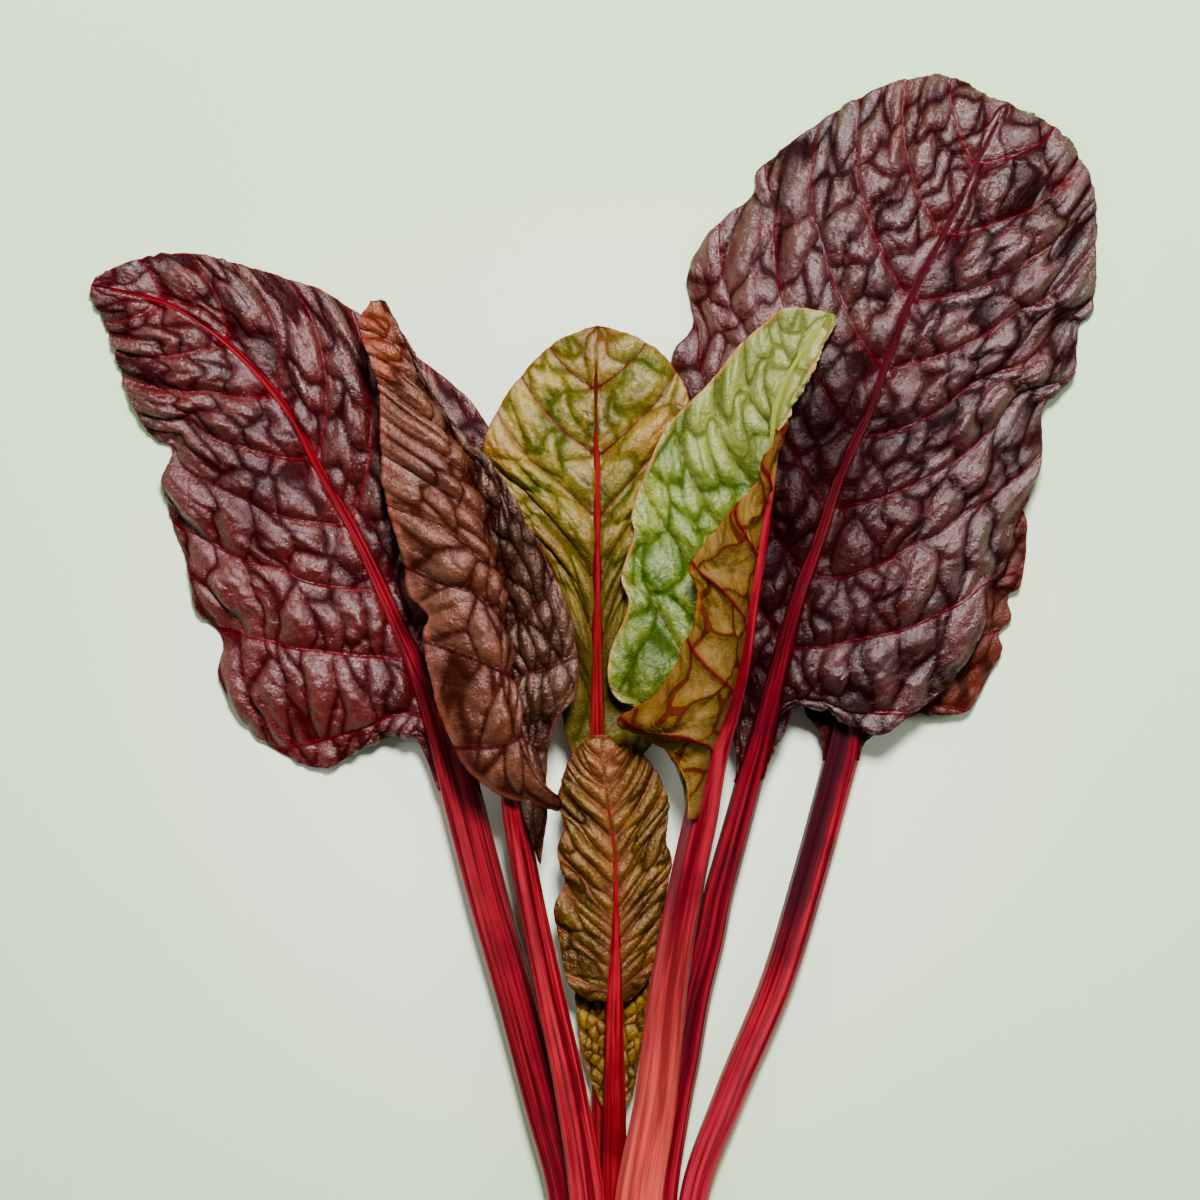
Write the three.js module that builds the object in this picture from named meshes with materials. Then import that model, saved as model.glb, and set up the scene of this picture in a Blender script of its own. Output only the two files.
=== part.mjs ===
// Bunch of eight swiss chard leaves lying on a surface, in millimetres, +Z up, tips towards +Y.
// Each leaf is a red stalk, which runs on as the midrib, and a puckered blade on both sides of it.
// Outlines are measured across (x) and up (y) from the middle of the cut ends of the stalks.
import * as THREE from 'three';

const BLADE_THICKNESS = 0.8;
const RIB_GAP = 0.45;
const RIB_END_GAP = 0.004;
const SLOT_ROW = 3;
const RIB_STEPS = 12;
const PETIOLE_STEPS = 10;
const BUNCH_MIDDLE = [-2.3, 214.8];

// A rib that is rolled on its side reaches this share of its corner distance. A slot never takes more
// than the largest share of a half.
const ROLLED_RIB_REACH = 0.62;
const LARGEST_SLOT_SHARE = 0.8;
const CENTRED_SHIFT = 0.45;

// Pillows between two side veins, and how deep the cross veins that part them go.
const CELLS_ACROSS = 4.5;
const CELL_SHIFT_ANGLE = 12.99;
const CROSS_VEIN_DEPTH = 0.28;
const SWEEP_POWER = 1.3;
const RIGHT_RIPPLE_PHASE = 2;

// Steps for directions measured on a curve or a surface, and the place just beside the slot.
const TANGENT_STEP = 0.02;
const NORMAL_STEP = 0.004;
const NEXT_TO_SLOT = 1e-6;

// Corners of a stalk's cross-section, as shares of its half width and of its depth: a shallow
// channel between two shoulders above, rounded sides, and a flat back.
const STALK_SECTION = [
  [1, -0.3], [0.86, 0.08], [0.45, 0.12], [0, 0], [-0.45, 0.12], [-0.86, 0.08],
  [-1, -0.3], [-0.76, -0.78], [-0.36, -1], [0.36, -1], [0.76, -0.78],
];

// Every leaf lists its midrib, left margin and right margin from tip to base, its petiole from there
// to the cut end, and heights evenly spaced from tip to base. Rib and petiole sizes are half width
// and depth. An arch lifts the middle of a half across (to the right) and up, in shares of its width.
const LEAVES = [
  {
    name: 'left_leaf',
    stalkColour: '#a3122b',
    bladeColour: '#4f262c',
    midrib: [
      [-179, 355.5], [-166.5, 353], [-153, 349.5], [-142, 343.5], [-126.5, 331], [-110, 312],
      [-98, 290], [-84.5, 265.5], [-70.5, 235], [-61.5, 214.5], [-53.5, 192.5], [-48.5, 175],
    ],
    left: [
      [-179.5, 352], [-175.5, 345], [-171, 333.5], [-165, 314.5], [-157, 302], [-150.5, 298],
      [-153.5, 286], [-151, 273], [-144.5, 255], [-142, 242], [-132.5, 230], [-135, 220.5],
      [-128.5, 206.5], [-115.5, 192.5], [-97.5, 186], [-84.5, 192], [-71, 198.5], [-66, 196],
      [-62.5, 188], [-59.2, 179],
    ],
    right: [
      [-177.5, 358.5], [-164, 364.5], [-149, 367], [-133.5, 365], [-113, 359], [-94.5, 352],
      [-68.5, 334], [-56, 324.5], [-45, 314], [-39, 304.5], [-35, 287], [-33.5, 259],
      [-35, 231], [-37, 206.5], [-38, 190], [-39.5, 178],
    ],
    petiole: [[-48.5, 175], [-39.5, 140], [-29.5, 105], [-19.5, 67], [-11.5, 35], [-11.5, 0]],
    midHeights: [3, 7, 8.5, 9, 9, 9],
    leftHeights: [2, 2.6, 1.8, 1.8, 2.7, 6],
    rightHeights: [3, 4, 4, 3.5, 4.5, 7],
    petioleHeights: [9, 9, 9, 9],
    leftArch: [0, 0.1],
    rightArch: [0, 0.1],
    rib: [[0.7, 1], [1.4, 2.6], [2, 4], [3.5, 6.5], [7.5, 8.5]],
    petioleSize: [[7.5, 8.5], [7.5, 8.9], [7.5, 9]],
    veins: 9,
    sweep: 0.17,
    pucker: 1.8,
    ripples: 7,
    ripple: 1.3,
    rows: 27,
    columns: 8,
  },
  {
    name: 'folded_bronze_leaf',
    stalkColour: '#b21533',
    bladeColour: '#6d463c',
    midrib: [
      [-77, 349.8], [-69.5, 333.5], [-61.5, 318.5], [-51, 301], [-43, 280], [-38, 259], [-35, 238],
      [-33, 217], [-32, 200], [-31, 184],
    ],
    left: [
      [-80, 349], [-84, 341], [-80.5, 330], [-76.5, 316.5], [-76.5, 307], [-74.5, 279],
      [-69.5, 264], [-66.5, 247.5], [-59.5, 239], [-61.5, 235], [-57.5, 212], [-53, 198.5],
      [-46.5, 186], [-36, 178], [-25, 174.2], [-14.5, 171.5],
    ],
    right: [
      [-74.5, 349], [-63, 328], [-54, 311.5], [-44.5, 297.5], [-35, 289], [-26, 273],
      [-17.5, 257.5], [-12, 243.5], [-8.5, 230], [-8.5, 212], [-14.5, 205], [-17, 197],
      [-18.5, 186], [-18.2, 172], [-21, 153],
    ],
    petiole: [
      [-31, 184], [-29.3, 168], [-26.8, 154], [-24.2, 140], [-17, 105], [-10.5, 74.5], [-4.5, 35],
      [-3.5, 0],
    ],
    midHeights: [20, 20, 20, 20, 21, 22],
    leftHeights: [22, 25, 26, 27, 26.5, 26.5],
    rightHeights: [21, 22, 24, 24, 23.5, 22],
    petioleHeights: [22, 22, 20.5, 20.5],
    leftArch: [0.34, 0.3],
    rightArch: [0, 0.16],
    rib: [[0.6, 0.8], [1, 1.8], [1.6, 3], [2.6, 4.6], [4.4, 7]],
    petioleSize: [[4.4, 7], [5.4, 8], [6.8, 8.5]],
    veins: 10,
    sweep: 0.14,
    pucker: 1.3,
    ripples: 6,
    ripple: 0.8,
    rows: 26,
    columns: 6,
  },
  {
    name: 'middle_olive_leaf',
    stalkColour: '#b3262d',
    bladeColour: '#8e8d35',
    midrib: [[-1, 341], [-1.5, 315], [-1, 287], [-1, 259], [-1, 231], [-1, 205], [-1, 186]],
    left: [
      [-5, 340], [-16, 335], [-26.5, 325], [-34.5, 314], [-41, 297], [-37, 290],
      [-28.5, 275], [-18.5, 260], [-14.5, 245], [-13, 225], [-13, 208], [-11.5, 196],
      [-6.5, 186.5],
    ],
    right: [
      [3, 340.5], [17.5, 334.5], [26.5, 325.5], [31, 315], [30.5, 301], [26.5, 287],
      [19.5, 273], [13.5, 259], [11, 241.5], [11, 224], [14, 207], [18, 195],
      [10, 188], [5, 186],
    ],
    petiole: [[-1, 186], [-1, 157.5], [-0.5, 105], [-0.5, 35], [-0.5, 0]],
    midHeights: [13, 14, 14.5, 14.5, 13.5, 12],
    leftHeights: [11, 12, 13, 13, 12.5, 12],
    rightHeights: [11, 12.5, 13.5, 13, 12, 12],
    petioleHeights: [12, 8, 5.8, 5.7, 5.7, 5.7],
    leftArch: [0, 0.07],
    rightArch: [0, 0.07],
    rib: [[0.6, 0.8], [1.2, 1.6], [1.7, 2.4], [2.3, 3.2], [3.2, 5]],
    petioleSize: [[3.2, 5], [3.1, 5.6], [3, 5.6]],
    veins: 7,
    sweep: 0.17,
    pucker: 1,
    ripples: 5,
    ripple: 0.6,
    rows: 21,
    columns: 6,
  },
  {
    name: 'folded_green_leaf',
    stalkColour: '#cc4746',
    bladeColour: '#74973f',
    midrib: [
      [80.3, 345], [72, 333], [65, 321], [61.5, 310], [61, 301.5], [59.5, 290], [56.5, 270],
      [52, 242], [49.5, 225], [46, 210], [39.5, 189], [35.2, 168],
    ],
    left: [
      [77, 346], [63.5, 346.5], [58, 342], [50.5, 335.5], [37, 319.5], [24, 306.5],
      [16.5, 291], [11, 273.5], [12, 269], [7.5, 252.5], [10, 244], [3.5, 226.5], [3, 216],
      [6.5, 210], [14, 207], [21.5, 193], [26, 181], [26.6, 169],
    ],
    right: [
      [83, 343], [80, 337], [74.5, 325], [67.5, 312], [62, 303], [59, 295], [51, 282],
      [41.5, 271.5], [33.5, 261], [31.5, 255], [33.5, 249], [32, 235], [26, 223],
      [18, 211.5], [6.5, 202.5], [12.5, 199.5], [21.5, 192.5], [26.6, 181], [27, 169],
    ],
    petiole: [[35.2, 168], [31.3, 150], [24.5, 111], [20, 71], [14, 35], [13.5, 0]],
    midHeights: [22, 22, 22, 22, 21, 20],
    leftHeights: [20, 18.5, 18.5, 18.5, 17.5, 15],
    rightHeights: [22, 28, 31, 29, 26, 25],
    petioleHeights: [20, 18.8, 18.2, 18, 18],
    leftArch: [0, -0.02],
    rightArch: [0.12, 0.34],
    roll: 100,
    centred: true,
    rib: [[0.8, 1.2], [1.2, 3], [1.8, 5], [2.4, 6.5], [4.6, 10]],
    petioleSize: [[4.6, 10], [5, 12.5], [5.4, 15.5]],
    veins: 8,
    sweep: 0.14,
    pucker: 1.1,
    ripples: 6,
    ripple: 0.7,
    rows: 25,
    columns: 7,
  },
  {
    name: 'right_leaf',
    stalkColour: '#8f1029',
    bladeColour: '#43262a',
    midrib: [
      [143.3, 420], [131.5, 396.5], [121, 374.5], [110.5, 354.5], [102, 333.5], [93.5, 309.5],
      [84.5, 290], [76.5, 266], [68.5, 243.5], [62, 218.5], [56, 194.5], [51.5, 178.5],
    ],
    left: [
      [139, 421], [124, 429], [115.5, 429.5], [100, 426], [84, 417.5], [68.5, 407],
      [55.5, 395.5], [54, 388.5], [40, 375.5], [31, 360.5], [31.5, 350], [32.5, 342],
      [26, 332], [24, 322], [21, 308], [19.5, 287], [21, 266], [26.5, 241.5],
      [35, 217], [41.5, 199.5], [44, 183],
    ],
    right: [
      [147, 418], [159.5, 411.5], [167, 404], [174.5, 387], [174.5, 369.5], [172.5, 345],
      [168.5, 342], [166.5, 323], [155.5, 313], [155.5, 296.5], [151, 282], [145, 269.5],
      [142, 256.5], [136.5, 250.5], [135, 237.5], [124, 217], [110.5, 206], [97.5, 198],
      [87.5, 202.5], [77.5, 209.5], [70, 208.5], [66.8, 199], [61.5, 191.5], [58.6, 183],
    ],
    petiole: [
      [51.5, 178.5], [44.9, 154], [41.2, 140], [38.4, 126], [33.1, 105], [29.4, 84], [26.6, 70],
      [21.6, 35], [20.8, 0],
    ],
    midHeights: [5, 11, 15, 17, 15, 10],
    leftHeights: [2.6, 2.4, 2, 2.3, 3.6, 8],
    rightHeights: [2.4, 1.9, 5.6, 11, 13, 11],
    petioleHeights: [10, 8.5, 8.1, 8.1],
    leftArch: [0, 0.1],
    rightArch: [0, 0.09],
    rib: [[0.8, 1], [1.4, 2.6], [1.9, 4], [3, 6], [5, 8]],
    petioleSize: [[5, 8], [6, 8], [5.2, 8]],
    veins: 10,
    sweep: 0.16,
    pucker: 1.9,
    ripples: 8,
    ripple: 1.1,
    rows: 30,
    columns: 8,
  },
  {
    name: 'back_right_leaf',
    stalkColour: '#a91c3c',
    bladeColour: '#69291f',
    midrib: [[122, 297.5], [108.5, 269.5], [98, 241.5], [89.5, 213.5], [84.5, 189]],
    left: [
      [117, 297], [106, 293], [94.5, 280], [86, 259], [79, 238], [74, 217], [72, 206],
      [75.2, 199], [75.8, 188.5],
    ],
    right: [
      [126, 297], [135, 294], [145, 283.5], [149.5, 274], [150, 264], [147.5, 250],
      [143.5, 246.5], [144.5, 238], [140, 233], [141.5, 228], [136, 217], [129, 206],
      [118.5, 204.5], [110, 204.5], [100, 198], [94.5, 195.5], [93, 188.5],
    ],
    petiole: [[84.5, 189], [74, 150], [62, 110.5], [45.5, 71], [33, 35], [32.3, 0]],
    midHeights: [5, 6, 6.5, 7, 7.5],
    leftHeights: [4, 4, 4, 5, 7],
    rightHeights: [4, 3, 3, 4, 7],
    petioleHeights: [7.5, 8.1, 8.1],
    leftArch: [0, 0.03],
    rightArch: [0, 0.06],
    rib: [[0.7, 1], [1.4, 2.6], [3, 5], [6.2, 7]],
    petioleSize: [[6.2, 7], [6, 8], [5, 8]],
    veins: 6,
    sweep: 0.14,
    pucker: 1.1,
    ripples: 6,
    ripple: 0.8,
    rows: 18,
    columns: 5,
  },
  {
    name: 'small_front_leaf',
    stalkColour: '#b22436',
    bladeColour: '#77701f',
    midrib: [
      [0.5, 198], [1.5, 185], [3, 172], [5, 158], [5.5, 145], [5.5, 131.5], [5.3, 118],
      [5, 105],
    ],
    left: [
      [-2, 197.5], [-6, 195], [-11, 188.5], [-14.5, 176], [-12.5, 164.5], [-15, 157.5],
      [-12.5, 146], [-16, 137], [-13.5, 122.5], [-11, 111], [-5, 105.5], [0.5, 104.5],
    ],
    right: [
      [3, 197.5], [7, 194], [11.5, 194], [19.5, 185], [24, 173.5], [23, 161], [25, 155],
      [24.5, 149.5], [22.5, 136], [20.5, 122.5], [17, 112], [12, 106], [9, 104.5],
    ],
    petiole: [[5, 105], [5, 87], [5, 63], [4.6, 35], [4.6, 0]],
    midHeights: [19, 18.5, 17, 15, 13.5],
    leftHeights: [18, 16.5, 15, 13.5, 13],
    rightHeights: [18, 15.5, 12.5, 11.5, 12],
    petioleHeights: [13.5, 12.5, 11.2, 11.2],
    leftArch: [0, 0.08],
    rightArch: [0, 0.08],
    rib: [[0.5, 0.7], [0.8, 1.2], [1.4, 2.2], [3.1, 4]],
    petioleSize: [[3.1, 4], [4.4, 4.6], [4.9, 4.8]],
    veins: 8,
    sweep: 0.22,
    pucker: 0.8,
    ripples: 8,
    ripple: 0.5,
    rows: 24,
    columns: 4,
  },
  {
    name: 'tiny_leaf',
    stalkColour: '#a32a2c',
    bladeColour: '#7c7a22',
    midrib: [[5, 123], [5, 91], [5, 64]],
    left: [[1, 122.5], [-4, 119], [-8.5, 108.5], [-7.5, 96], [-6.5, 87], [-3.5, 77], [1.5, 65]],
    right: [[9, 122.5], [14, 119], [17.5, 109], [16, 97.5], [14, 87], [12, 75], [8.5, 65]],
    petiole: [[5, 64], [7, 45], [8.6, 35], [8.6, 0]],
    midHeights: [7.6, 7.6, 7.2, 6.8],
    leftHeights: [7.6, 7.6, 7.2, 6.8],
    rightHeights: [7.6, 7.6, 7.2, 6.8],
    petioleHeights: [6.8, 5, 4, 4],
    leftArch: [0, 0.03],
    rightArch: [0, 0.03],
    rib: [[0.5, 0.6], [0.7, 0.9], [1.2, 1.4]],
    petioleSize: [[1.2, 1.4], [1.8, 3.4], [2, 4]],
    veins: 6,
    sweep: 0.1,
    pucker: 0.45,
    ripples: 6,
    ripple: 0.3,
    rows: 12,
    columns: 3,
  },
];

// Smooth value at a place from 0 to 1 along a list of evenly spaced values.
function along(values, place) {
  const span = values.length - 1;
  const scaled = THREE.MathUtils.clamp(place, 0, 1) * span;
  const index = Math.min(Math.floor(scaled), span - 1);
  const share = scaled - index;
  const at = (i) => values[THREE.MathUtils.clamp(i, 0, span)];
  const [before, start, end, after] = [at(index - 1), at(index), at(index + 1), at(index + 2)];
  const slopeStart = (end - before) / 2;
  const slopeEnd = (after - start) / 2;
  return start + share * (slopeStart + share * (3 * (end - start) - 2 * slopeStart - slopeEnd
    + share * (2 * (start - end) + slopeStart + slopeEnd)));
}

// A smooth curve through outline points, with its heights spread evenly along its length.
function raisedCurve(outline, heights) {
  const curve = new THREE.CatmullRomCurve3(outline.map(([x, y]) => new THREE.Vector3(x, y, 0)));
  return (place) => {
    const point = curve.getPointAt(THREE.MathUtils.clamp(place, 0, 1));
    point.z = along(heights, place);
    return point;
  };
}

function ribSize(leaf, place) {
  return [0, 1].map((which) => along(leaf.rib.map((size) => size[which]), place));
}

// The share of a half's span that the slot for the rib takes, so that the gap beside the rib holds
// also where the span leaves the rib at a slant.
function slotShare(leaf, place, midrib, span) {
  const [halfWidth, depth] = ribSize(leaf, place);
  const rolledReach = Math.hypot(halfWidth, depth) * ROLLED_RIB_REACH;
  const reach = (leaf.centred ? rolledReach : halfWidth) + RIB_GAP;
  const tangent = midrib(place + TANGENT_STEP).sub(midrib(place - TANGENT_STEP)).normalize();
  return Math.min(reach / tangent.cross(span).length(), LARGEST_SLOT_SHARE);
}

// Relief of the upper side: side veins sunk between pillows, which fine cross veins part again.
function relief(leaf, place, across, side) {
  const interval = place * leaf.veins;
  const pillow = Math.sqrt(Math.abs(Math.sin(Math.PI * interval)));
  const shift = Math.sin(Math.floor(interval) * CELL_SHIFT_ANGLE + side) / 2;
  const crossVein = Math.abs(Math.sin(Math.PI * (across * CELLS_ACROSS + shift)));
  const height = pillow * (1 - CROSS_VEIN_DEPTH + CROSS_VEIN_DEPTH * crossVein);
  const fade = Math.min(1, 5 * (1 - across) + 0.25) * Math.min(1, 6 * place, 6 * (1 - place));
  return leaf.pucker * fade * (height - 0.5);
}

// Middle surface of a blade: place runs from tip (0) to base (1), across from the left margin (-1)
// past the slot (0) to the right margin (1). Rows sweep towards the tip as the side veins do.
function bladeSurface(leaf) {
  const midrib = raisedCurve(leaf.midrib, leaf.midHeights);
  const margins = {
    left: raisedCurve(leaf.left, leaf.leftHeights),
    right: raisedCurve(leaf.right, leaf.rightHeights),
  };
  const smooth = (place, across) => {
    const side = across < 0 ? 'left' : 'right';
    const distance = Math.abs(across);
    const swept = place - 4 * leaf.sweep * place * (1 - place) * distance ** SWEEP_POWER;
    const start = midrib(swept);
    const span = margins[side](swept).sub(start);
    const width = span.length();
    const slot = slotShare(leaf, swept, midrib, span);
    const share = slot + (1 - slot) * distance;
    const [sideways, up] = leaf[`${side}Arch`];
    const swell = 4 * share * (1 - share) * width;
    const phase = 2 * Math.PI * leaf.ripples * place + (side === 'left' ? 0 : RIGHT_RIPPLE_PHASE);
    const wave = leaf.ripple * share ** 3 * Math.sin(phase) * Math.min(1, 4 * place, 4 * (1 - place));
    const lift = new THREE.Vector3(sideways * swell, 0, up * swell + wave);
    return start.addScaledVector(span, share).add(lift);
  };
  const normal = (place, across) => {
    const before = Math.max(place - NORMAL_STEP, 0);
    const after = Math.min(place + NORMAL_STEP, 1);
    const side = Math.sign(across);
    const near = side * Math.max(Math.abs(across) - NORMAL_STEP, NEXT_TO_SLOT);
    const far = side * (Math.abs(across) + NORMAL_STEP);
    const lengthwise = smooth(after, across).sub(smooth(before, across));
    const crosswise = smooth(place, far).sub(smooth(place, near)).multiplyScalar(side);
    return lengthwise.cross(crosswise).normalize();
  };
  return { smooth, normal };
}

// Turns a grid of points with a normal each into a closed sheet. The quads of the middle column are
// left out from SLOT_ROW on, where the rib lies.
function thickSheet(points, normals, rowCount, columnCount) {
  const positions = [];
  for (const side of [1, -1]) {
    points.forEach((point, i) => {
      const moved = point.clone().addScaledVector(normals[i], side * BLADE_THICKNESS / 2);
      positions.push(moved.x, moved.y, moved.z);
    });
  }
  const middle = (columnCount - 1) / 2;
  const kept = (row, column) => row >= 0 && row < rowCount && column >= 0 && column < columnCount
    && !(column === middle && row >= SLOT_ROW);
  const vertex = (row, column) => row * (columnCount + 1) + column;
  const count = points.length;
  const indices = [];
  const wall = (a, b) => indices.push(a, a + count, b, b, a + count, b + count);
  for (let row = 0; row < rowCount; row += 1) {
    for (let column = 0; column < columnCount; column += 1) {
      if (!kept(row, column)) continue;
      const [a, b] = [vertex(row, column), vertex(row, column + 1)];
      const [c, d] = [vertex(row + 1, column + 1), vertex(row + 1, column)];
      indices.push(a, d, c, a, c, b);
      indices.push(a + count, c + count, d + count, a + count, b + count, c + count);
      if (!kept(row - 1, column)) wall(b, a);
      if (!kept(row + 1, column)) wall(d, c);
      if (!kept(row, column - 1)) wall(a, d);
      if (!kept(row, column + 1)) wall(c, b);
    }
  }
  const geometry = new THREE.BufferGeometry();
  geometry.setAttribute('position', new THREE.Float32BufferAttribute(positions, 3));
  geometry.setIndex(indices);
  geometry.computeVertexNormals();
  return geometry;
}

function bladeGeometry(leaf) {
  const { smooth, normal } = bladeSurface(leaf);
  const columnCount = 2 * leaf.columns + 1;
  const points = [];
  const normals = [];
  for (let row = 0; row <= leaf.rows; row += 1) {
    const place = row / leaf.rows;
    for (let column = 0; column <= columnCount; column += 1) {
      const onLeft = column <= leaf.columns;
      const distance = (onLeft ? leaf.columns - column : column - leaf.columns - 1) / leaf.columns;
      const across = (onLeft ? -1 : 1) * Math.max(distance, NEXT_TO_SLOT);
      const direction = normal(place, across);
      const height = relief(leaf, place, distance, onLeft ? 0 : 1);
      points.push(smooth(place, across).addScaledVector(direction, height));
      normals.push(direction);
    }
  }
  return thickSheet(points, normals, leaf.rows, columnCount);
}

// A stalk is its midrib and petiole in one: upright cross-sections along the curve, closed by the
// cut end. A folded leaf's stalk is rolled about its own line and centred on it.
function stalkGeometry(leaf) {
  const midrib = raisedCurve(leaf.midrib, leaf.midHeights);
  const petiole = raisedCurve(leaf.petiole, leaf.petioleHeights);
  const ribStart = SLOT_ROW / leaf.rows + RIB_END_GAP;
  const stations = [];
  for (let i = 0; i <= RIB_STEPS; i += 1) {
    const place = ribStart + (1 - ribStart) * i / RIB_STEPS;
    stations.push({ point: midrib(place), size: ribSize(leaf, place) });
  }
  for (let i = 1; i <= PETIOLE_STEPS; i += 1) {
    const place = i / PETIOLE_STEPS;
    const size = [0, 1].map((which) => along(leaf.petioleSize.map((s) => s[which]), place));
    stations.push({ point: petiole(place), size });
  }
  const roll = THREE.MathUtils.degToRad(leaf.roll ?? 0);
  const positions = [];
  stations.forEach(({ point, size }, i) => {
    const ahead = stations[Math.min(i + 1, stations.length - 1)].point;
    const behind = stations[Math.max(i - 1, 0)].point;
    const across = new THREE.Vector3(behind.y - ahead.y, ahead.x - behind.x, 0).normalize();
    for (const [x, z] of STALK_SECTION) {
      const side = x * size[0];
      const height = (z + (leaf.centred ? CENTRED_SHIFT : 0)) * size[1];
      const sideways = side * Math.cos(roll) - height * Math.sin(roll);
      const corner = point.clone().addScaledVector(across, sideways);
      corner.z += side * Math.sin(roll) + height * Math.cos(roll);
      positions.push(corner.x, corner.y, corner.z);
    }
  });
  const corners = STALK_SECTION.length;
  const indices = [];
  for (let i = 0; i < stations.length - 1; i += 1) {
    for (let j = 0; j < corners; j += 1) {
      const a = i * corners + j;
      const b = i * corners + (j + 1) % corners;
      indices.push(a, b, a + corners, b, b + corners, a + corners);
    }
  }
  const outline = STALK_SECTION.map(([x, z]) => new THREE.Vector2(x, z));
  for (const [a, b, c] of THREE.ShapeUtils.triangulateShape(outline, [])) {
    const last = (stations.length - 1) * corners;
    indices.push(a, c, b, last + a, last + b, last + c);
  }
  const geometry = new THREE.BufferGeometry();
  geometry.setAttribute('position', new THREE.Float32BufferAttribute(positions, 3));
  geometry.setIndex(indices);
  geometry.computeVertexNormals();
  return geometry;
}

const bunch = new THREE.Group();
for (const leaf of LEAVES) {
  const pieces = [
    ['stalk', stalkGeometry(leaf), leaf.stalkColour, 0.35],
    ['blade', bladeGeometry(leaf), leaf.bladeColour, 0.45],
  ];
  for (const [piece, geometry, color, roughness] of pieces) {
    const material = new THREE.MeshStandardMaterial({ color, roughness, metalness: 0 });
    const mesh = new THREE.Mesh(geometry, material);
    mesh.name = `${leaf.name}_${piece}`;
    mesh.position.set(-BUNCH_MIDDLE[0], -BUNCH_MIDDLE[1], 0);
    bunch.add(mesh);
  }
}

export default bunch;
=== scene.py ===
import math

import bmesh
import bpy
import numpy as np
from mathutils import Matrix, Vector, noise


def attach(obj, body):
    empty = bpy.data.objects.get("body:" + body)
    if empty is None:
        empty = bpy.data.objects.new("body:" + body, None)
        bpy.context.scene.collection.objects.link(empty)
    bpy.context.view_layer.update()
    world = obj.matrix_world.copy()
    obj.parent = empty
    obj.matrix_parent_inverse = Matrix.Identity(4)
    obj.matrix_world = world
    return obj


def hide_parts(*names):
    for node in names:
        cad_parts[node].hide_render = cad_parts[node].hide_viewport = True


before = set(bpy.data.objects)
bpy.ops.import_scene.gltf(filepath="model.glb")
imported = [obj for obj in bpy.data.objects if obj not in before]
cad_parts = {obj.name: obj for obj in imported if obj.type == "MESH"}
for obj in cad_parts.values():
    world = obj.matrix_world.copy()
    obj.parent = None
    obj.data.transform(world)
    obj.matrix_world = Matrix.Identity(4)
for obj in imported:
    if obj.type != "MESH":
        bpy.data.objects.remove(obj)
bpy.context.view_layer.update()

# Bunch of eight swiss chard leaves lying on a pale table. The outlines are in millimetres, across
# (x) and up (y) from the middle of the cut ends, as in the part's own source.
MM = 0.001
BUNCH_MIDDLE = (-2.3, 214.8)
LEAF_THICKNESS = 0.6
ROOT = "root"

# Corners of a stalk's cross-section, as shares of its half width and of its depth.
STALK_SECTION = [
    (1, -0.3), (0.86, 0.08), (0.45, 0.12), (0, 0), (-0.45, 0.12), (-0.86, 0.08),
    (-1, -0.3), (-0.76, -0.78), (-0.36, -1), (0.36, -1), (0.76, -0.78),
]

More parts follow.
